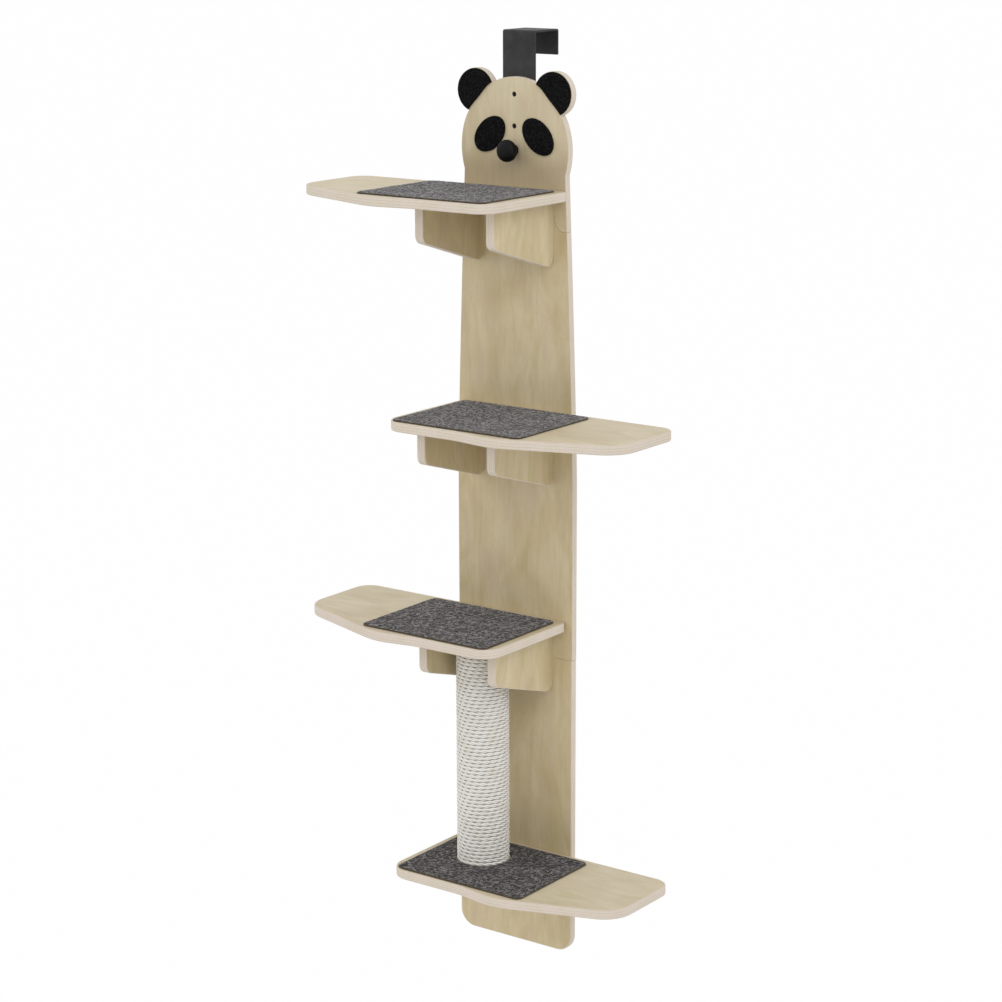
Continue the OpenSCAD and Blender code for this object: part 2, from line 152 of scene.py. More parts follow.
def ramp(tree, value, stops):
    """A colour for each value: stops are (place, colour)."""
    made = put(tree, "ShaderNodeValToRGB", {0: value})
    band = made.color_ramp.elements
    while len(band) < len(stops):
        band.new(0.5)
    for element, (place, colour) in zip(band, stops):
        element.position = place
        element.color = colour
    return made.outputs[0]


def grain(tree, coords, scale, detail=2.0, roughness=0.5, distortion=0.0):
    """Noise on coordinates, with a scale for each axis, in repeats a metre."""
    moved = put(tree, "ShaderNodeMapping", {0: coords, 3: scale}).outputs[0]
    return put(tree, "ShaderNodeTexNoise",
               {"Vector": moved, "Scale": 1.0, "Detail": detail, "Roughness": roughness,
                "Distortion": distortion}).outputs[0]


def new_material(name):
    """A material with its tree, its shader and Object coordinates."""
    mat = bpy.data.materials.new(name)
    mat.use_nodes = True
    tree = mat.node_tree
    shader = tree.nodes["Principled BSDF"]
    coords = put(tree, "ShaderNodeTexCoord").outputs["Object"]
    return mat, tree, shader, coords


def bumped(tree, shader, height, distance, strength):
    """Gives the shader a bump from a height."""
    made = put(tree, "ShaderNodeBump", {"Height": height, "Distance": distance, "Strength": strength})
    tree.links.new(made.outputs[0], shader.inputs["Normal"])


# Wood

ROSE, OLIVE = srgb(203, 184, 160), srgb(190, 180, 132)
FIGURE_LINE, FIBRE_BROWN, PORE_BROWN = srgb(160, 132, 88), srgb(150, 122, 84), srgb(132, 102, 66)
# Painted shadow colour for the low part of the head.
PAINTED_SHADE_BROWN = srgb(156, 132, 96)
LAYER_PALE, LAYER_DARK, GLUE_BROWN = srgb(216, 207, 193), srgb(208, 197, 180), srgb(168, 142, 116)
SANDED_FIBRE, PINK_PATCH = srgb(184, 162, 138), srgb(219, 205, 198)
FIGURE_LINES = 62.0


def turned(along, across, grain_axis):
    """Noise scale for wood: low along the grain, high across it."""
    scale = [across, across, across]
    scale["XYZ".index(grain_axis)] = along
    return scale


def veneer(name, pale, tan, grain_axis, seed, shade_heights=None):
    """Birch face veneer: cloudy patches that lean to olive or rose, faint cathedral lines, fibres and pores.
    The last argument gives four falling heights for painted shade under the nose and above the top shelf. A
    browner patch of painted shadow comes in from the first to the second, and goes out again from the third
    to the fourth."""
    mat, tree, shader, coords = new_material(name)
    rise = put(tree, "ShaderNodeSeparateXYZ", {0: coords}).outputs[2]
    coords = put(tree, "ShaderNodeMapping", {0: coords, 1: (seed, seed * 0.7, seed * 1.3)}).outputs[0]
    cloud = grain(tree, coords, turned(9, 21, grain_axis), 4, 0.55, 0.8)
    hue = grain(tree, coords, turned(12, 34, grain_axis), 2, 0.5, 0.5)
    field = grain(tree, coords, turned(2.6, 12, grain_axis), 2, 0.45, 0.3)
    lines = sums(tree, "SINE", sums(tree, "MULTIPLY", field, FIGURE_LINES))
    streak = grain(tree, coords, turned(4, 150, grain_axis), 4, 0.65, 0.3)
    fibre = grain(tree, coords, turned(22, 900, grain_axis), 2, 0.6)
    pores = grain(tree, coords, turned(130, 1500, grain_axis), 1, 0.5)
    middle = [(a + b) / 2 for a, b in zip(tan, pale)]
    colour = ramp(tree, weighed(tree, cloud, 0.77, streak), [(0.32, tan), (0.5, middle), (0.68, pale)])
    colour = blend(tree, spread(tree, hue, 0.52, 0.72, 0.0, 0.42), colour, ROSE)
    colour = blend(tree, spread(tree, hue, 0.28, 0.46, 0.38, 0.0), colour, OLIVE)
    colour = blend(tree, spread(tree, lines, 0.0, 1.0, 0.0, 0.09), colour, FIGURE_LINE)
    colour = blend(tree, spread(tree, fibre, 0.35, 0.62, 0.08, 0.0), colour, FIBRE_BROWN)
    colour = blend(tree, spread(tree, pores, 0.66, 0.74, 0.0, 0.22), colour, PORE_BROWN)
    # Painted shade: a browner cloudy patch low on the board, standing in for the nose's shadow and the shade
    # just above the top shelf.
    if shade_heights:
        come_in = spread(tree, rise, shade_heights[1], shade_heights[0], 0.55, 0.0)
        go_out = spread(tree, rise, shade_heights[3], shade_heights[2])
        cloudy = sums(tree, "MULTIPLY", come_in, sums(tree, "ADD", cloud, 0.4))
        colour = blend(tree, sums(tree, "MULTIPLY", cloudy, go_out), colour, PAINTED_SHADE_BROWN)
    feed(tree, shader, {"Base Color": colour, "Roughness": spread(tree, streak, 0.3, 0.7, 0.5, 0.62),
                        "Specular IOR Level": 0.5})
    bumped(tree, shader, sums(tree, "SUBTRACT", fibre, sums(tree, "MULTIPLY", pores, 0.4)), 0.00012, 0.5)
    return mat


def ply_edge(name, layers, thick_axis, low, thick, seed):
    """Sanded plywood edge: thin layers across the thickness, paler and pinker than the face.
    Low is where the thickness begins and thick is how far it goes, in millimetres."""
    mat, tree, shader, coords = new_material(name)
    depth = put(tree, "ShaderNodeSeparateXYZ", {0: coords}).outputs["XYZ".index(thick_axis)]
    wobble = grain(tree, coords, [38, 38, 38], 2)
    ply = sums(tree, "MULTIPLY", sums(tree, "SUBTRACT", depth, low * MM), layers / (thick * MM))
    ply = sums(tree, "ADD", ply, sums(tree, "MULTIPLY", sums(tree, "SUBTRACT", wobble, 0.5), 0.9))
    half_turns = sums(tree, "MULTIPLY", ply, math.pi)
    line = sums(tree, "POWER", sums(tree, "ABSOLUTE", sums(tree, "COSINE", half_turns)), 0.6)
    glue = spread(tree, line, 0.0, 0.45, 1.0, 0.0)
    layer = spread(tree, sums(tree, "SINE", half_turns), -0.6, 0.6)
    seeded = put(tree, "ShaderNodeMapping", {0: coords, 1: (seed, seed * 1.9, seed * 0.6)}).outputs[0]
    fibre = grain(tree, seeded, [420, 420, 420], 2, 0.7)
    patch = grain(tree, seeded, [26, 26, 26], 2)
    colour = blend(tree, layer, LAYER_PALE, LAYER_DARK)
    colour = blend(tree, sums(tree, "MULTIPLY", glue, 0.16), colour, GLUE_BROWN)
    colour = blend(tree, spread(tree, fibre, 0.4, 0.66, 0.0, 0.18), colour, SANDED_FIBRE)
    colour = blend(tree, spread(tree, patch, 0.4, 0.65, 0.0, 0.3), colour, PINK_PATCH)
    feed(tree, shader, {"Base Color": colour, "Roughness": spread(tree, fibre, 0.3, 0.7, 0.6, 0.75),
                        "Specular IOR Level": 0.12})
    bumped(tree, shader, sums(tree, "SUBTRACT", fibre, glue), 0.0002, 0.5)
    return mat


# Carpet, felt and rope

def carpet_finish():
    """Grey heather loop pile, each tuft its own shade, with painted shade in the gaps between tufts and a
    dark cut rim.
    """
    mat, tree, shader, coords = new_material("heather_carpet")
    tuft = put(tree, "ShaderNodeTexVoronoi", {"Vector": coords, "Scale": 1 / CARPET_TUFT})
    shade = put(tree, "ShaderNodeSeparateColor", {0: tuft.outputs["Color"]}).outputs
    fine = put(tree, "ShaderNodeTexVoronoi", {"Vector": coords, "Scale": 2.3 / CARPET_TUFT})
    fleck = put(tree, "ShaderNodeSeparateColor", {0: fine.outputs["Color"]}).outputs[1]
    heather = weighed(tree, shade[0], 0.68, fleck)
    colour = ramp(tree, heather, [
        (0.20, srgb(16, 14, 15)), (0.38, srgb(31, 27, 28)), (0.5, srgb(49, 44, 45)),
        (0.64, srgb(66, 60, 61)), (0.80, srgb(124, 117, 118))])
    colour = blend(tree, sums(tree, "MULTIPLY", shade[2], 0.2), colour, srgb(74, 60, 58))
    colour = blend(tree, sums(tree, "MULTIPLY", shade[1], 0.14), colour, srgb(50, 57, 58))
    # Painted shade: darker towards each tuft's edge, where the gaps between tufts fall in shadow.
    painted_gap_shade = spread(tree, tuft.outputs["Distance"], 0.45, 0.8, 0.0, 0.5)
    colour = blend(tree, painted_gap_shade, colour, srgb(20, 18, 18))
    rim = put(tree, "ShaderNodeAttribute", attribute_name="from_edge").outputs["Fac"]
    colour = blend(tree, spread(tree, rim, 0.0010, 0.0026, 0.92, 0.0), colour, srgb(78, 70, 56))
    feed(tree, shader, {
        "Base Color": colour, "Roughness": 0.95, "Specular IOR Level": 0.15,
        "Sheen Weight": spread(tree, heather, 0.3, 0.7, 0.36, 0.72), "Sheen Roughness": 0.32})
    bumped(tree, shader, grain(tree, coords, [1500, 1500, 1500], 2, 0.6), 0.0006, 0.7)
    return mat


def felt_finish():
    """Black pressed felt with stray grey fibres."""
    mat, tree, shader, coords = new_material("black_felt")
    wool = grain(tree, coords, [420, 420, 420], 4, 0.8)
    hair = grain(tree, coords, [2600, 500, 1300], 2, 0.6, 1.5)
    colour = ramp(tree, wool, [(0.36, srgb(4, 4, 5)), (0.5, srgb(10, 10, 11)), (0.66, srgb(40, 40, 42))])
    colour = blend(tree, spread(tree, hair, 0.64, 0.74, 0.0, 0.3), colour, srgb(58, 58, 61))
    feed(tree, shader, {"Base Color": colour, "Roughness": 0.97, "Specular IOR Level": 0.04,
                        "Sheen Weight": 0.02, "Sheen Roughness": 0.6})
    bumped(tree, shader, sums(tree, "ADD", wool, hair), 0.0006, 0.6)
    return mat


def from_post_axis(tree, coords):
    """How far a point is from the post's axis, in metres."""
    x, y, _ = put(tree, "ShaderNodeSeparateXYZ", {0: coords}).outputs
    y_from_axis = sums(tree, "ABSOLUTE", sums(tree, "SUBTRACT", y, POST_Y * MM))
    squares = sums(tree, "ADD", sums(tree, "POWER", x, 2.0), sums(tree, "POWER", y_from_axis, 2.0))
    return sums(tree, "SQRT", squares)


def rope_finish():
    """Off-white twisted cotton rope, with painted shade in the hollows between its strands and between its
    rows.
    """
    mat, tree, shader, coords = new_material("cotton_rope")
    valley = put(tree, "ShaderNodeAttribute", attribute_name="valley").outputs["Fac"]
    along = put(tree, "ShaderNodeAttribute", attribute_name="along").outputs["Fac"]
    fibre = grain(tree, coords, [900, 900, 1600], 3, 0.65, 0.4)
    blotch = grain(tree, coords, [45, 45, 45], 2)
    run = put(tree, "ShaderNodeCombineXYZ", {0: along, 1: valley}).outputs[0]
    yarn = grain(tree, run, [160, 6, 1], 2, 0.5)
    colour = ramp(tree, fibre, [
        (0.3, srgb(220, 216, 208)), (0.5, srgb(238, 236, 231)), (0.7, srgb(247, 246, 243))])
    colour = blend(tree, spread(tree, blotch, 0.4, 0.68, 0.0, 0.25), colour, srgb(219, 210, 192))
    colour = blend(tree, spread(tree, yarn, 0.5, 0.75, 0.0, 0.18), colour, srgb(196, 188, 172))
    # Painted shade in the grooves between the strands.
    colour = blend(tree, spread(tree, valley, 0.4, 1.0, 0.0, 0.25), colour, srgb(112, 104, 91))
    # Painted shade: darker the deeper a point lies towards the post, in the gaps between the rows.
    sunk = spread(tree, from_post_axis(tree, coords), (POST_R - 2.9) * MM, (POST_R - 1.9) * MM, 0.5, 0.0)
    colour = blend(tree, sunk, colour, srgb(84, 77, 66))
    feed(tree, shader, {"Base Color": colour, "Roughness": 0.9, "Specular IOR Level": 0.2,
                        "Sheen Weight": 0.1})
    bumped(tree, shader, sums(tree, "ADD", fibre, yarn), 0.0004, 0.6)
    return mat


# Metal, paint, card and foam

def coated_steel(name, tone, rough, speck):
    """Powder coat or black oxide: a fine dimpled skin with a slightly uneven shade."""
    mat, tree, shader, coords = new_material(name)
    dimple = grain(tree, coords, [1300, 1300, 1300], 2, 0.5)
    cloud = grain(tree, coords, [32, 32, 32], 2)
    dark = srgb(*(max(0, v - 6) for v in tone))
    light = srgb(*(v + 7 for v in tone))
    colour = blend(tree, spread(tree, cloud, 0.35, 0.65), dark, light)
    colour = blend(tree, spread(tree, dimple, 0.6, 0.72, 0.0, speck), colour, srgb(128, 128, 130))
    feed(tree, shader, {"Base Color": colour, "Specular IOR Level": 0.25,
                        "Roughness": spread(tree, dimple, 0.3, 0.7, rough - 0.06, rough + 0.08)})
    bumped(tree, shader, dimple, 0.00018, 0.6)
    return mat


def zinc_finish():
    """Bright zinc plate with a cloudy spangle and fine scratches."""
    mat, tree, shader, coords = new_material("zinc_plate")
    spangle = grain(tree, coords, [240, 240, 240], 3, 0.6, 1.0)
    scratch = grain(tree, coords, [60, 60, 2400], 2, 0.7)
    colour = ramp(tree, spangle, [(0.35, srgb(168, 170, 172)), (0.65, srgb(203, 205, 207))])
    feed(tree, shader, {"Base Color": colour, "Metallic": 1.0,
                        "Roughness": spread(tree, scratch, 0.3, 0.75, 0.28, 0.46)})
    bumped(tree, shader, scratch, 0.00005, 0.5)
    return mat


def knob_finish():
    """Satin black paint over turned wood."""
    mat, tree, shader, coords = new_material("black_knob_paint")
    film = grain(tree, coords, [300, 300, 300], 2, 0.5)
    turning = grain(tree, coords, [40, 1500, 40], 2, 0.5)
    colour = ramp(tree, film, [(0.35, srgb(12, 11, 11)), (0.65, srgb(17, 16, 17))])
    feed(tree, shader, {"Base Color": colour, "Specular IOR Level": 0.16,
                        "Roughness": spread(tree, turning, 0.3, 0.7, 0.46, 0.56)})
    bumped(tree, shader, sums(tree, "ADD", turning, film), 0.0001, 0.5)
    return mat


def card_finish():
    """Spirally wound brown card tube."""
    mat, tree, shader, coords = new_material("brown_card")
    pulp = grain(tree, coords, [500, 500, 900], 3, 0.7)
    x, y, z = put(tree, "ShaderNodeSeparateXYZ", {0: coords}).outputs
    angle = sums(tree, "ARCTAN2", sums(tree, "SUBTRACT", y, POST_Y * MM), x)
    turn = sums(tree, "ADD", sums(tree, "MULTIPLY", z, 60.0), angle)
    seam = sums(tree, "ABSOLUTE", sums(tree, "SINE", sums(tree, "MULTIPLY", turn, 0.5)))
    colour = ramp(tree, pulp, [(0.3, srgb(158, 128, 92)), (0.7, srgb(186, 156, 116))])
    colour = blend(tree, spread(tree, seam, 0.0, 0.05, 0.4, 0.0), colour, srgb(112, 86, 58))
    feed(tree, shader, {"Base Color": colour, "Roughness": 0.85})
    bumped(tree, shader, pulp, 0.0003, 0.5)
    return mat


def foam_finish():
    """Dark closed-cell foam pad."""
    mat, tree, shader, coords = new_material("dark_foam")
    cells = put(tree, "ShaderNodeTexVoronoi", {"Vector": coords, "Scale": 1700.0})
    mottled = grain(tree, coords, [260, 260, 260], 2)
    colour = ramp(tree, mottled, [(0.3, srgb(36, 36, 38)), (0.7, srgb(50, 50, 52))])
    feed(tree, shader, {"Base Color": colour, "Roughness": 0.9, "Specular IOR Level": 0.2})
    bumped(tree, shader, cells.outputs["Distance"], 0.0004, 0.6)
    return mat


BOARD_PALE, BOARD_TAN = srgb(212, 198, 164), srgb(192, 174, 134)
HEAD_PALE, HEAD_TAN = srgb(214, 202, 173), srgb(196, 181, 147)
SHELF_PALE, SHELF_TAN = srgb(206, 195, 170), srgb(190, 177, 148)
BEECH_PALE, BEECH_TAN = srgb(214, 190, 150), srgb(190, 160, 118)
# Heights in metres where the head's painted shade comes in and goes out.
CHIN_SHADE_HEIGHTS = (-0.165, -0.205, -0.234, -0.250)
BOARD_LAYERS, SHELF_LAYERS = 5, 7

board_face = veneer("board_veneer", BOARD_PALE, BOARD_TAN, "Z", 0.0)
head_face = veneer("head_veneer", HEAD_PALE, HEAD_TAN, "Z", 4.6, CHIN_SHADE_HEIGHTS)
shelf_face = veneer("shelf_veneer", SHELF_PALE, SHELF_TAN, "X", 1.7)
bracket_face = veneer("bracket_veneer", BOARD_PALE, BOARD_TAN, "Z", 2.3)
board_rim = ply_edge("board_edge", BOARD_LAYERS, "Y", FACE_Y, BOARD_T, 0.4)
shelf_rims = {
    which: ply_edge(f"{which}_shelf_edge", SHELF_LAYERS, "Z", top - SHELF_T, SHELF_T, place + 1.0)
    for place, (which, top) in enumerate(SHELF_TOPS.items())}
bracket_rims = {
    side: ply_edge(f"{side}_bracket_edge", SHELF_LAYERS, "X", s * BRACKET_X - BRACKET_T / 2, BRACKET_T,
                   6.0 + s)
    for side, s in SIDES.items()}
carpet = carpet_finish()
felt = felt_finish()
rope_cotton = rope_finish()
hook_coat = coated_steel("charcoal_powder_coat", (47, 46, 47), 0.55, 0.05)
bolt_black = coated_steel("black_oxide", (17, 16, 17), 0.5, 0.02)
zinc = zinc_finish()
knob_paint = knob_finish()
plug_wood = veneer("plug_beech", BEECH_PALE, BEECH_TAN, "Z", 3.1)
card = card_finish()
foam = foam_finish()


# Shape helpers

def add_object(name, mesh, materials=()):
    """An object at the origin with the mesh and its materials."""
    made = bpy.data.objects.new(name, mesh)
    bpy.context.scene.collection.objects.link(made)
    for mat in materials:
        mesh.materials.append(mat)
    return made


def from_bmesh(name, shape, materials):
    """An object from a finished bmesh, which is freed."""
    mesh = bpy.data.meshes.new(name)
    shape.to_mesh(mesh)
    shape.free()
    return add_object(name, mesh, materials)


def settle(made, node_name):
    """Hides the CAD node that a finished piece replaces. Every piece rides on the same body."""
    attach(made, "root")
    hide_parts(node_name)


def plain_result(made):
    """The object's mesh as its modifiers leave it."""
    depsgraph = bpy.context.evaluated_depsgraph_get()
    return bpy.data.meshes.new_from_object(made.evaluated_get(depsgraph), depsgraph=depsgraph)


def merged_copy(node_name):
    """A CAD node's mesh with its doubles merged and its flat faces joined."""
    shape = bmesh.new()
    shape.from_mesh(NODES[node_name].data)
    bmesh.ops.remove_doubles(shape, verts=shape.verts, dist=5e-6)
    bmesh.ops.dissolve_limit(shape, angle_limit=math.radians(0.05), verts=shape.verts, edges=shape.edges)
    return shape


def turns_by(edge, degrees):
    """True where the faces beside an edge turn by more than that."""
    return len(edge.link_faces) == 2 and edge.calc_face_angle(0) > math.radians(degrees)


def long_sharp_edges(shape, least_run):
    """Sharp edges that belong to an outline at least that long, so that screw holes stay as they are."""
    sharp = [e for e in shape.edges if turns_by(e, 50)]
    left = set(sharp)
    chosen = []
    while left:
        stack = [left.pop()]
        run = []
        while stack:
            edge = stack.pop()
            run.append(edge)
            for vert in edge.verts:
                for other in vert.link_edges:
                    if other in left:
                        left.remove(other)
                        stack.append(other)
        if sum(e.calc_length() for e in run) > least_run:
            chosen += run
    return chosen


def at_seam(edge):
    """True for the edges where two boards meet, which stay crisp."""
    middle = (edge.verts[0].co + edge.verts[1].co) / 2 / MM
    if middle.y < FACE_Y - 1:
        return False
    upper = abs(middle.x) < 92 and -2 < middle.z - SEAMS[0] < 36
    lower = abs(middle.x) < 108 and abs(middle.z - SEAMS[1]) < 2
    return upper or lower


def softened(node_name, name, materials, width, face_axis=None, segments=3, least_run=70.0):
    """A piece from its CAD node with its long edges rounded, to a width in millimetres. Faces that
    look along face_axis get the first material and the rest the last."""
    shape = merged_copy(node_name)
    edges = [e for e in long_sharp_edges(shape, least_run * MM) if not at_seam(e)]
    bmesh.ops.bevel(shape, geom=edges, offset=width * MM, offset_type="OFFSET", segments=segments,
                    profile=0.5, affect="EDGES", clamp_overlap=True)
    for face in shape.faces:
        if face_axis is None:
            face.smooth = face.calc_area() < 40 * MM * MM
            continue
        flat = abs(face.normal["XYZ".index(face_axis)]) > 0.999
        face.material_index = 0 if flat else 1
        face.smooth = not flat
    for edge in shape.edges:
        if turns_by(edge, 38):
            edge.smooth = False
    return from_bmesh(name, shape, materials)


def lathe(shape, profile, segments):
    """Turns a profile of (radius, height) round Z, closed at both ends."""
    rings = []
    for radius, height in profile:
        if radius < 1e-7:
            rings.append([shape.verts.new((0, 0, height))])
            continue
        angles = [2 * math.pi * i / segments for i in range(segments)]
        rings.append([shape.verts.new((radius * math.cos(a), radius * math.sin(a), height)) for a in angles])
    for low, high in zip(rings, rings[1:]):
        for i in range(segments):
            j = (i + 1) % segments
            if len(low) == 1:
                shape.faces.new((low[0], high[j], high[i]))
            elif len(high) == 1:
                shape.faces.new((low[i], low[j], high[0]))
            else:
                shape.faces.new((low[i], low[j], high[j], high[i]))
    return rings


def recess(shape, ring, points, depth, shrink):
    """Sinks a pocket with the outline of points into the flat end inside a ring, at height 0."""
    upper = [shape.verts.new((x, y, 0)) for x, y in points]
    lower = [shape.verts.new((x * shrink, y * shrink, depth)) for x, y in points]
    n = len(points)
    rim_edges = [shape.edges.get((ring[i], ring[(i + 1) % len(ring)])) for i in range(len(ring))]
    hole_edges = [shape.edges.new((upper[i], upper[(i + 1) % n])) for i in range(n)]
    bmesh.ops.bridge_loops(shape, edges=rim_edges + hole_edges)
    for i in range(n):
        j = (i + 1) % n
        shape.faces.new((upper[i], upper[j], lower[j], lower[i]))
    shape.faces.new(lower)


def wood_screw(name, length, shank_d, head_d):
    """A countersunk wood screw with a cross recess, its head's face at the origin, pointing along +Z."""
    shape = bmesh.new()
    r, head_r = shank_d / 2 * MM, head_d / 2 * MM
    sink = (head_d - shank_d) / 2 * MM
    tip = length * MM
    profile = [(head_r * 0.97, 0.0), (head_r, 0.0002), (r * 0.98, sink)]
    height, pitch = sink + 0.003, 0.0018
    profile.append((r * 0.82, height - pitch / 2))
    while height < tip - 0.004:
        profile += [(r * 0.78, height), (r, height + pitch * 0.35)]
        height += pitch
    profile += [(r * 0.75, tip - 0.0035), (r * 0.35, tip - 0.0012), (0.0, tip)]
    rings = lathe(shape, profile, 12)
    arm, half = head_r * 0.56, head_r * 0.13
    cross = [(arm, -half), (arm, half), (half, half), (half, arm), (-half, arm), (-half, half),
             (-arm, half), (-arm, -half), (-half, -half), (-half, -arm), (half, -arm), (half, -half)]
    recess(shape, rings[0], cross, sink * 0.8, 0.45)
    bmesh.ops.recalc_face_normals(shape, faces=shape.faces)
    for face in shape.faces:
        face.smooth = False
    return from_bmesh(name, shape, [zinc])


def socket_bolt(shape, head_d, head_t, shank_d, length, key, place, pointing):
    """Adds a round-headed bolt with a hexagon socket. Its head's face is at the place, in millimetres."""
    bolt = bmesh.new()
    r, head_r = shank_d / 2 * MM, head_d / 2 * MM
    t, end = head_t * MM, length * MM
    edge = min(t * 0.35, head_r * 0.25)
    profile = [(head_r - edge, 0.0), (head_r - edge * 0.3, edge * 0.3), (head_r, edge), (head_r, t), (r, t)]
    height, pitch = t + 0.004, 0.001
    profile.append((r, height))
    while height < end - 0.002:
        profile += [(r * 0.86, height + pitch / 2), (r, height + pitch)]
        height += pitch
    profile += [(r * 0.84, end), (0.0, end)]
    rings = lathe(bolt, profile, 24)
    corner = key * MM / 2 / math.cos(math.pi / 6)
    hexagon = [(corner * math.cos(math.pi * i / 3), corner * math.sin(math.pi * i / 3)) for i in range(6)]
    recess(bolt, rings[0], hexagon, t * 0.6, 0.96)
    bmesh.ops.recalc_face_normals(bolt, faces=bolt.faces)
    for vert in bolt.verts:
        x, y, z = vert.co
        turned_to = {"+Y": (x, z, -y), "-Z": (x, -y, -z), "+Z": (x, y, z)}
        vert.co = Vector(turned_to[pointing]) + Vector(place) * MM
    mesh = bpy.data.meshes.new("bolt")
    bolt.to_mesh(mesh)
    bolt.free()
    shape.from_mesh(mesh)
    bpy.data.meshes.remove(mesh)


# Geometry node trees

def new_tree(name, inputs):
    """A modifier tree with named inputs, each (name, socket kind, value)."""
    tree = bpy.data.node_groups.new(name, "GeometryNodeTree")
    tree.is_modifier = True
    face = tree.interface
    face.new_socket("Geometry", in_out="INPUT", socket_type="NodeSocketGeometry")
    face.new_socket("Geometry", in_out="OUTPUT", socket_type="NodeSocketGeometry")
    for label, kind, value in inputs:
        socket = face.new_socket(label, in_out="INPUT", socket_type=kind)
        if value is not None:
            socket.default_value = value
    return tree, put(tree, "NodeGroupInput").outputs


def close_tree(tree, geometry, material):
    """Ends a tree: instances become mesh, and the mesh gets its material."""
    real = put(tree, "GeometryNodeRealizeInstances", {0: geometry}).outputs[0]
    done = put(tree, "GeometryNodeSetMaterial", {"Geometry": real, "Material": material}).outputs[0]
    put(tree, "NodeGroupOutput", {0: done})


def grow(name, mesh, tree, values):
    """Runs a tree on a mesh with the given inputs, and keeps the result as a plain mesh."""
    made = add_object(name, mesh)
    modifier = made.modifiers.new("grow", "NODES")
    modifier.node_group = tree
    for socket in tree.interface.items_tree:
        if socket.in_out == "INPUT" and socket.name in values:
            modifier[socket.identifier] = values[socket.name]
    made.update_tag()
    result = plain_result(made)
    made.modifiers.clear()
    made.data = result
    result.name = name
    return made


def stored(tree, geometry, label, value):
    """Keeps a value of each point under a name that the finish reads."""
    return put(tree, "GeometryNodeStoreNamedAttribute", {"Geometry": geometry, "Name": label, "Value": value},
               data_type="FLOAT", domain="POINT").outputs[0]


def winding_tree():
    """One rope of twisted strands wound round a post. The rows lie level, and each step up to the next
    is at the back."""
    tree, given = new_tree("rope_winding", [
        ("Winding radius", "NodeSocketFloat", 0.039), ("Rope radius", "NodeSocketFloat", 0.003),
        ("Row pitch", "NodeSocketFloat", 0.006), ("Rows", "NodeSocketInt", 60),
        ("Rings a turn", "NodeSocketInt", 80), ("Strands", "NodeSocketInt", 3),
        ("Lay length", "NodeSocketFloat", 0.035), ("Strand depth", "NodeSocketFloat", 0.42),
        ("Step share", "NodeSocketFloat", 0.25), ("Centre", "NodeSocketVector", (0, 0, 0)),
        ("Cotton", "NodeSocketMaterial", None)])
    whole = sums(tree, "SUBTRACT", given["Rows"], given["Step share"])
    count = sums(tree, "MULTIPLY", whole, given["Rings a turn"])
    line = put(tree, "GeometryNodeCurvePrimitiveLine").outputs[0]
    line = put(tree, "GeometryNodeResampleCurve", {"Curve": line, "Count": count}).outputs[0]
    share = put(tree, "GeometryNodeSplineParameter").outputs["Factor"]
    turns = sums(tree, "MULTIPLY", share, whole)
    step_from = sums(tree, "SUBTRACT", 1.0, given["Step share"])
    step = spread(tree, sums(tree, "FRACT", turns), step_from, 1.0)
    row = sums(tree, "ADD", sums(tree, "FLOOR", turns), step)
    angle = sums(tree, "ADD", sums(tree, "MULTIPLY", turns, 2 * math.pi), math.radians(135))
    wound = put(tree, "ShaderNodeCombineXYZ", {
        0: sums(tree, "MULTIPLY", sums(tree, "COSINE", angle), given["Winding radius"]),
        1: sums(tree, "MULTIPLY", sums(tree, "SINE", angle), given["Winding radius"]),
        2: sums(tree, "MULTIPLY", row, given["Row pitch"])}).outputs[0]
    placed = put(tree, "ShaderNodeVectorMath", {0: wound, 1: given["Centre"]}, operation="ADD").outputs[0]
    line = put(tree, "GeometryNodeSetPosition", {"Geometry": line, "Position": placed}).outputs[0]
    run = sums(tree, "MULTIPLY", sums(tree, "MULTIPLY", turns, given["Winding radius"]), 2 * math.pi)
    line = stored(tree, line, "along", run)
    line = put(tree, "GeometryNodeSetCurveNormal", {0: line}, mode="Z_UP").outputs[0]
    twist = sums(tree, "MULTIPLY", sums(tree, "DIVIDE", run, given["Lay length"]), 2 * math.pi)
    line = put(tree, "GeometryNodeSetCurveTilt", {"Curve": line, "Tilt": twist}).outputs[0]

    sides = sums(tree, "MULTIPLY", given["Strands"], 6.0)
    ring = put(tree, "GeometryNodeCurvePrimitiveCircle",
               {"Resolution": sides, "Radius": given["Rope radius"]}).outputs[0]
    round_share = put(tree, "GeometryNodeSplineParameter").outputs["Factor"]
    half_turns = sums(tree, "MULTIPLY", round_share, sums(tree, "MULTIPLY", given["Strands"], math.pi))
    lobe = sums(tree, "ABSOLUTE", sums(tree, "COSINE", half_turns))
    hollow = sums(tree, "SUBTRACT", 1.0, lobe)
    keep = sums(tree, "SUBTRACT", 1.0, sums(tree, "MULTIPLY", hollow, given["Strand depth"]))
    place = put(tree, "GeometryNodeInputPosition").outputs[0]
    lobed = put(tree, "ShaderNodeVectorMath", {0: place, "Scale": keep}, operation="SCALE").outputs[0]
    ring = stored(tree, ring, "valley", hollow)
    ring = put(tree, "GeometryNodeSetPosition", {"Geometry": ring, "Position": lobed}).outputs[0]

    rope = put(tree, "GeometryNodeCurveToMesh",
               {"Curve": line, "Profile Curve": ring, "Fill Caps": True}).outputs[0]
    rope = put(tree, "GeometryNodeSetShadeSmooth", {0: rope}).outputs[0]
    close_tree(tree, rope, given["Cotton"])
    return tree


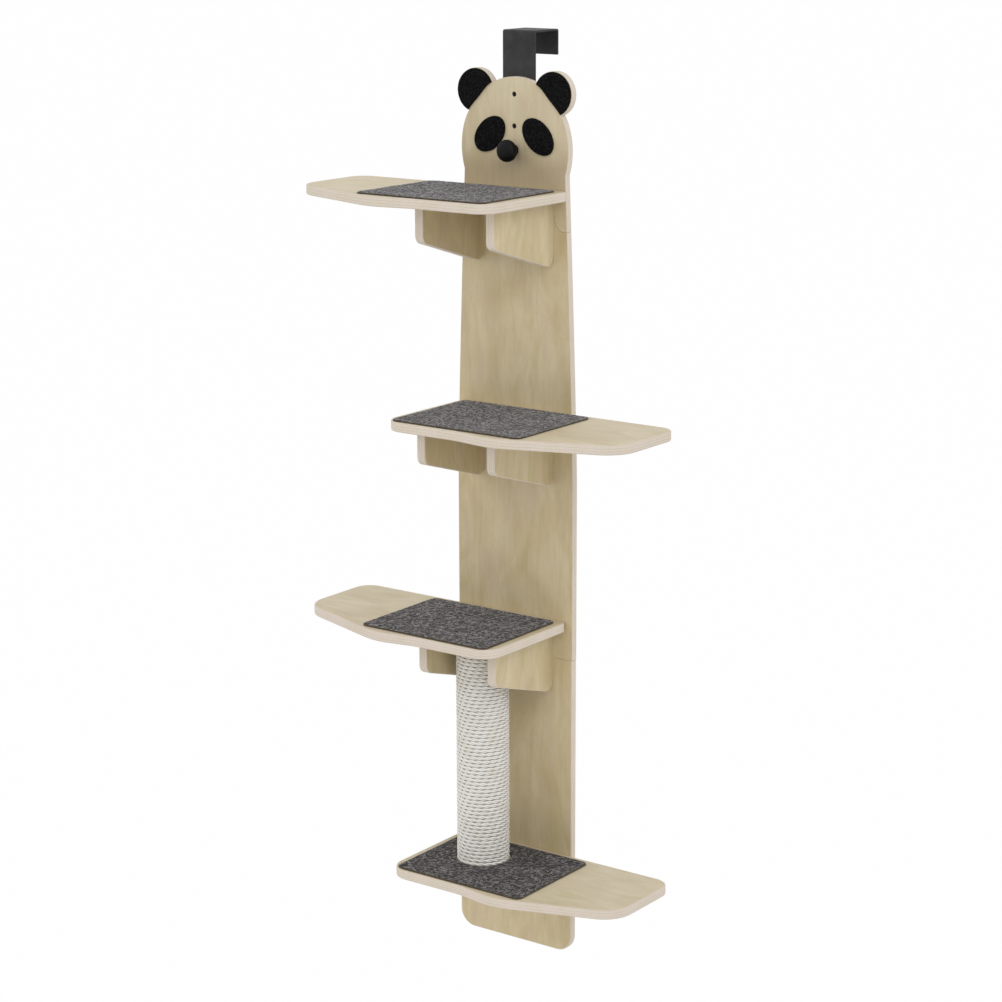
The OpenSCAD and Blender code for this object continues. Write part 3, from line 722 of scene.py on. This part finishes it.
def pile_tree():
    """Loop pile on a mat: every tuft stands up by its own height, and the rim is pressed down."""
    tree, given = new_tree("carpet_pile", [
        ("Tuft size", "NodeSocketFloat", CARPET_TUFT), ("Pile height", "NodeSocketFloat", 0.0010),
        ("Rim width", "NodeSocketFloat", 0.003), ("Rim drop", "NodeSocketFloat", 0.0007),
        ("Top", "NodeSocketFloat", 0.0), ("Carpet", "NodeSocketMaterial", None)])
    place = put(tree, "GeometryNodeInputPosition").outputs[0]
    scale = sums(tree, "DIVIDE", 1.0, given["Tuft size"])
    tuft = put(tree, "ShaderNodeTexVoronoi", {"Vector": place, "Scale": scale})
    shade = put(tree, "FunctionNodeSeparateColor", {0: tuft.outputs["Color"]}).outputs[1]
    from_crown = sums(tree, "MULTIPLY", tuft.outputs["Distance"], 1.1)
    crown = sums(tree, "SUBTRACT", 1.0, from_crown, clamp=True)
    fine = sums(tree, "MULTIPLY", scale, 2.6)
    rough = put(tree, "ShaderNodeTexNoise", {"Vector": place, "Scale": fine}).outputs[0]
    own_height = sums(tree, "ADD", sums(tree, "MULTIPLY", shade, 0.5), 0.5)
    tufted = sums(tree, "MULTIPLY", crown, own_height)
    rise = sums(tree, "ADD", tufted, sums(tree, "MULTIPLY", rough, 0.5))
    lift = sums(tree, "SUBTRACT", sums(tree, "MULTIPLY", rise, given["Pile height"]), given["Pile height"])
    edge = put(tree, "GeometryNodeInputNamedAttribute", {"Name": "from_edge"}, data_type="FLOAT").outputs[0]
    inner = spread(tree, edge, 0.0, given["Rim width"])
    press = sums(tree, "MULTIPLY", sums(tree, "SUBTRACT", inner, 1.0), given["Rim drop"])
    height = put(tree, "ShaderNodeSeparateXYZ", {0: place}).outputs[2]
    below_top = sums(tree, "SUBTRACT", given["Top"], height)
    near_top = put(tree, "ShaderNodeMapRange",
                   {0: below_top, 1: 0.0002, 2: 0.0020, 3: 1.0, 4: 0.0}).outputs[0]
    pressed = sums(tree, "ADD", sums(tree, "MULTIPLY", lift, inner), press)
    offset = put(tree, "ShaderNodeCombineXYZ", {2: sums(tree, "MULTIPLY", pressed, near_top)}).outputs[0]
    mesh = put(tree, "GeometryNodeSetPosition", {"Geometry": given["Geometry"], "Offset": offset}).outputs[0]
    mesh = put(tree, "GeometryNodeSetShadeSmooth", {0: mesh}).outputs[0]
    close_tree(tree, mesh, given["Carpet"])
    return tree


def screw_tree():
    """The same screw at every point, turned about its own axis by chance."""
    tree, given = new_tree("screw_set", [
        ("Screw", "NodeSocketObject", None), ("Pointing", "NodeSocketRotation", None),
        ("Seed", "NodeSocketInt", 4), ("Metal", "NodeSocketMaterial", None)])
    shape = put(tree, "GeometryNodeObjectInfo", {"Object": given["Screw"]}).outputs["Geometry"]
    points = put(tree, "GeometryNodeMeshToPoints", {"Mesh": given["Geometry"]}).outputs[0]
    copies = put(tree, "GeometryNodeInstanceOnPoints",
                 {"Points": points, "Instance": shape, "Rotation": given["Pointing"]}).outputs[0]
    chance = put(tree, "FunctionNodeRandomValue", {2: 0.0, 3: 2 * math.pi, "Seed": given["Seed"]},
                 data_type="FLOAT").outputs[1]
    spin = put(tree, "ShaderNodeCombineXYZ", {2: chance}).outputs[0]
    copies = put(tree, "GeometryNodeRotateInstances", {"Instances": copies, "Rotation": spin}).outputs[0]
    close_tree(tree, copies, given["Metal"])
    return tree


# Plywood

def make_boards():
    """The head and the two boards below it, rounded all round but at their seams."""
    faces = {"head_board": head_face, "middle_board": board_face, "lower_board": board_face}
    for node_name, face in faces.items():
        made = softened(node_name, f"{node_name}_plywood", [face, board_rim], 1.4, "Y")
        settle(made, node_name)


def make_shelves():
    """Four shelves, each with an edge finish of its own."""
    for which in SHELF_TOPS:
        node_name = f"{which}_shelf"
        made = softened(node_name, f"{node_name}_plywood", [shelf_face, shelf_rims[which]], 1.8, "Z", 4)
        settle(made, node_name)


def make_brackets():
    """Two brackets under each of the upper three shelves."""
    for which in BRACKETED:
        for side in SIDES:
            node_name = f"{which}_{side}_bracket"
            finishes = [bracket_face, bracket_rims[side]]
            made = softened(node_name, f"{node_name}_plywood", finishes, 1.1, "X", 4)
            settle(made, node_name)


# Soft pieces

def remeshed(node_name, voxel):
    """A CAD node's shape as an even grid of small faces, with their size in millimetres."""
    shape = merged_copy(node_name)
    bmesh.ops.triangulate(shape, faces=shape.faces)
    rough = from_bmesh("rough", shape, [])
    coarse = rough.data
    modifier = rough.modifiers.new("even", "REMESH")
    modifier.mode = "VOXEL"
    modifier.voxel_size = voxel * MM
    even = plain_result(rough)
    bpy.data.objects.remove(rough)
    bpy.data.meshes.remove(coarse)
    return even


def flat_bottom(mesh, level, axis):
    """Joins the small faces on the hidden flat side of a pad."""
    shape = bmesh.new()
    shape.from_mesh(mesh)
    under = [f for f in shape.faces if all(abs(v.co[axis] - level) < 0.2 * MM for v in f.verts)]
    bmesh.ops.dissolve_faces(shape, faces=under)
    shape.to_mesh(mesh)
    shape.free()


def inside_round_box(points, low, high, radius):
    """How far each point is inside a rounded rectangle."""
    centre, half = (low + high) / 2, (high - low) / 2
    q = np.abs(points - centre) - (half - radius)
    outside = np.linalg.norm(np.maximum(q, 0), axis=1) + np.minimum(q.max(axis=1), 0)
    return radius - outside


def make_mats():
    """Four carpet mats, the lowest with a hole for the post."""
    tree = pile_tree()
    for which in SHELF_TOPS:
        node_name = f"{which}_mat"
        low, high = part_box(node_name)
        mesh = remeshed(node_name, 1.05)
        flat_bottom(mesh, low.z, 2)
        co = np.zeros(len(mesh.vertices) * 3)
        mesh.vertices.foreach_get("co", co)
        co = co.reshape(-1, 3)
        inside = inside_round_box(co[:, :2], np.array(low[:2]), np.array(high[:2]), MAT_CORNER * MM)
        if which == "bottom":
            from_post = np.hypot(co[:, 0], co[:, 1] - POST_Y * MM) - (POST_R + BARE_AT_POST) * MM
            inside = np.minimum(inside, from_post + 0.0012)
        from_edge = mesh.attributes.new("from_edge", "FLOAT", "POINT")
        from_edge.data.foreach_set("value", inside.astype(np.float32))
        made = grow(f"{which}_mat_carpet", mesh, tree, {"Top": high.z, "Carpet": carpet})
        settle(made, node_name)


def make_felt_pads():
    """Round ear pads and oval eye pads, their faces slightly uneven."""
    for which, (wide, tall), area in (("ear", EAR_PAD, 2.314e-3), ("eye", EYE_PAD, 2.33e-3)):
        for side in SIDES:
            node_name = f"{side}_{which}_pad"
            glued_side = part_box(node_name)[HIGH].y
            mesh = remeshed(node_name, 0.7)
            flat_bottom(mesh, glued_side, 1)
            for vert in mesh.vertices:
                if vert.co.y < glued_side - 1.2 * MM:
                    ripple = sum(noise.noise(vert.co * scale) * height for scale, height in FELT_RIPPLES)
                    vert.co.y += FELT_SET_BACK + ripple
            for face in mesh.polygons:
                face.use_smooth = True
            made = add_object(f"{node_name}_felt", mesh, [felt])
            settle(made, node_name)


def make_rope():
    """The rope's rows from the lowest shelf up to the third."""
    rope_r = ROPE_D / 2 + ROPE_PRESS
    height = SHELF_TOPS["third"] - SHELF_T - SHELF_TOPS["bottom"]
    pitch = (height - 2 * rope_r - 2 * ROPE_REST) / (ROPE_ROWS - 1)
    made = grow("post_rope_winding", bpy.data.meshes.new("winding"), winding_tree(), {
        "Winding radius": (POST_R - rope_r) * MM, "Rope radius": rope_r * MM, "Row pitch": pitch * MM,
        "Rows": ROPE_ROWS, "Rings a turn": 80, "Strands": 3, "Lay length": 0.03509, "Strand depth": 0.42,
        "Step share": 0.25, "Cotton": rope_cotton,
        "Centre": (0.0, POST_Y * MM, (SHELF_TOPS["bottom"] + rope_r + ROPE_REST) * MM)})
    settle(made, "post_rope")


def make_door_pads():
    """Foam pads behind the boards, which rest on the door."""
    made = softened("door_pads", "door_pads_foam", [foam, foam], 0.6, "Y")
    settle(made, "door_pads")


# Metal, nose and post

def make_hook():
    """The bent strip over the door and the two bolts through the head."""
    made = softened("door_hook", "door_hook_steel", [hook_coat], 0.5, least_run=100.0)
    settle(made, "door_hook")
    shape = bmesh.new()
    for z in HOOK_BOLTS_Z:
        socket_bolt(shape, head_d=7.4, head_t=2.2, shank_d=4.0, length=14.4, key=2.4,
                    place=(0, FACE_Y + 0.3, z), pointing="+Y")
    settle(from_bmesh("hook_bolts_steel", shape, [bolt_black]), "hook_bolts")


def make_nose():
    """A turned knob: a short neck, then a fat round head. Its profile is (share of its radius, way out)."""
    profile = [
        (0, 0), (0.47, 0), (0.495, 0.4), (0.49, 2.0), (0.465, 7.5), (0.47, 9.6), (0.52, 10.8), (0.64, 11.3),
        (0.8, 12.3), (0.92, 14.1), (0.985, 16.5), (1, 19.2), (0.985, 21.8), (0.93, 24.2), (0.83, 26.2),
        (0.68, 27.6), (0.48, 28.5), (0.24, 28.9), (0, NOSE_OUT)]
    shape = bmesh.new()
    lathe(shape, [(NOSE_R * share * MM, out * MM) for share, out in profile], 56)
    for vert in shape.verts:
        x, y, z = vert.co
        vert.co = (x, FACE_Y * MM - z, NOSE_Z * MM + y)
    bmesh.ops.recalc_face_normals(shape, faces=shape.faces)
    for face in shape.faces:
        face.smooth = True
    settle(from_bmesh("nose_knob_turned", shape, [knob_paint]), "nose_knob")


def screw_places():
    """Every set of screws: its node, its points in millimetres, its length and where it points."""
    shelf_x, plate_x, plate_rise = 50, 45, 24
    falls, outs = (22, 78), (35, 115)
    bracketed = [SHELF_TOPS[which] for which in BRACKETED]
    from_back, down = (math.radians(90), 0, 0), (math.radians(180), 0, 0)
    sides = tuple(SIDES.values())
    return [
        ("bracket_screws",
         [(s * BRACKET_X, BACK_Y, z - SHELF_T - fall) for z in bracketed for s in sides for fall in falls],
         34, from_back),
        ("shelf_top_screws",
         [(s * BRACKET_X, FACE_Y - out, z) for z in bracketed for s in sides for out in outs],
         37, down),
        ("shelf_back_screws",
         [(s * shelf_x, BACK_Y, z - SHELF_T / 2) for z in SHELF_TOPS.values() for s in sides],
         34, from_back),
        ("joining_screws",
         [(s * plate_x, BACK_Y + PLATE_T, z + t * plate_rise) for z in SEAMS for s in sides for t in sides],
         11, from_back),
        ("nose_screw", [(0, BACK_Y, NOSE_Z)], 28, from_back)]


def make_screws():
    """All wood screws, each set one piece."""
    tree = screw_tree()
    for seed, (node_name, points, length, pointing) in enumerate(screw_places(), start=4):
        pattern = wood_screw("screw_pattern", length, shank_d=4.0, head_d=8.0)
        mesh = bpy.data.meshes.new(node_name)
        mesh.from_pydata([[v * MM for v in p] for p in points], [], [])
        made = grow(f"{node_name}_zinc", mesh, tree,
                    {"Screw": pattern, "Pointing": pointing, "Seed": seed, "Metal": zinc})
        bpy.data.objects.remove(pattern)
        settle(made, node_name)


def make_post_bolts():
    """One bolt down through the third shelf and one up through the lowest, their heads just sunk."""
    sunk = 0.15
    for node_name, z, pointing in (("post_top_bolt", SHELF_TOPS["third"] - sunk, "-Z"),
                                   ("post_bottom_bolt", SHELF_TOPS["bottom"] - SHELF_T + sunk, "+Z")):
        shape = bmesh.new()
        socket_bolt(shape, head_d=10.8, head_t=3.0, shank_d=6.0, length=25.0, key=4.0,
                    place=(0, POST_Y, z), pointing=pointing)
        settle(from_bmesh(f"{node_name}_zinc", shape, [zinc]), node_name)


def make_joining_plates():
    """The plates behind the two seams."""
    for node_name in ("upper_joining_plate", "lower_joining_plate"):
        made = softened(node_name, f"{node_name}_zinc", [zinc, zinc], 0.35, "Y", 2)
        settle(made, node_name)


def dress_hidden_nodes():
    """Finishes for the CAD pieces inside the post, which keep their own shapes."""
    for node_name, mat in (("post_core", card), ("post_top_plug", plug_wood), ("post_bottom_plug", plug_wood),
                           ("post_insert_nuts", zinc), ("post_washers", zinc)):
        mesh = NODES[node_name].data
        mesh.materials.clear()
        mesh.materials.append(mat)


make_boards()
make_shelves()
make_brackets()
make_mats()
make_felt_pads()
make_rope()
make_door_pads()
make_hook()
make_nose()
make_screws()
make_post_bolts()
make_joining_plates()
dress_hidden_nodes()


# Camera, floor and light, in metres and watts

LENS = 95.23
CAMERA_PLACE = (2.3694, -3.3159, 0.2374)
CAMERA_TURN = (76.612, 0.146, 36.173)
FLOOR_Z = -2.03
MIDDLE = (0.0, -0.1, -0.75)
LAMP_SIZE = 2.6
WHITE = (1.0, 1.0, 1.0, 1.0)


def make_camera():
    """A long lens that looks slightly down, from the front right."""
    data = bpy.data.cameras.new("Camera")
    data.sensor_width = 36.0
    data.lens = LENS
    data.clip_end = 200.0
    camera = bpy.data.objects.new("Camera", data)
    camera.location = CAMERA_PLACE
    camera.rotation_euler = [math.radians(angle) for angle in CAMERA_TURN]
    bpy.context.scene.collection.objects.link(camera)
    bpy.context.scene.camera = camera


def seen_share(tree, share):
    """That share for what the camera, its reflections and its refractions see, and none for the light."""
    path = put(tree, "ShaderNodeLightPath").outputs
    seen = sums(tree, "MAXIMUM", sums(tree, "MAXIMUM", path["Is Camera Ray"], path["Is Glossy Ray"]),
                path["Is Transmission Ray"])
    return sums(tree, "MULTIPLY", seen, share)


def make_floor():
    """A wide floor below the climber that looks white."""
    shape = bmesh.new()
    bmesh.ops.create_grid(shape, x_segments=2, y_segments=2, size=60.0)
    for vert in shape.verts:
        vert.co.z = FLOOR_Z
    mat = bpy.data.materials.new("pale_floor")
    mat.use_nodes = True
    tree = mat.node_tree
    tree.nodes.clear()
    plain = put(tree, "ShaderNodeBsdfDiffuse", {0: (0.85, 0.85, 0.85, 1)}).outputs[0]
    glow = put(tree, "ShaderNodeEmission", {0: WHITE, 1: 1.0}).outputs[0]
    mixed = put(tree, "ShaderNodeMixShader", {0: seen_share(tree, 0.96), 1: plain, 2: glow}).outputs[0]
    put(tree, "ShaderNodeOutputMaterial", {0: mixed})
    from_bmesh("floor", shape, [mat])


def make_world():
    """White all round, a little dimmer as light than to the eye."""
    world = bpy.data.worlds.new("studio")
    bpy.context.scene.world = world
    world.use_nodes = True
    tree = world.node_tree
    tree.nodes.clear()
    soft = put(tree, "ShaderNodeBackground", {0: WHITE, 1: 0.98}).outputs[0]
    white = put(tree, "ShaderNodeBackground", {0: WHITE, 1: 1.0}).outputs[0]
    mixed = put(tree, "ShaderNodeMixShader", {0: seen_share(tree, 1.0), 1: soft, 2: white}).outputs[0]
    put(tree, "ShaderNodeOutputWorld", {0: mixed})


def make_lamp(name, place, power):
    """A broad round lamp aimed at the climber's middle."""
    data = bpy.data.lights.new(name, "AREA")
    data.shape = "DISK"
    data.size = LAMP_SIZE
    data.energy = power
    lamp = bpy.data.objects.new(name, data)
    lamp.location = place
    lamp.rotation_euler = (Vector(MIDDLE) - Vector(place)).to_track_quat("-Z", "Y").to_euler()
    bpy.context.scene.collection.objects.link(lamp)


make_camera()
make_floor()
make_world()
make_lamp("key_light", (2.8, -2.0, 2.2), 25)
make_lamp("left_light", (-2.8, -2.6, 0.8), 10)
bpy.context.scene.view_settings.view_transform = "Standard"
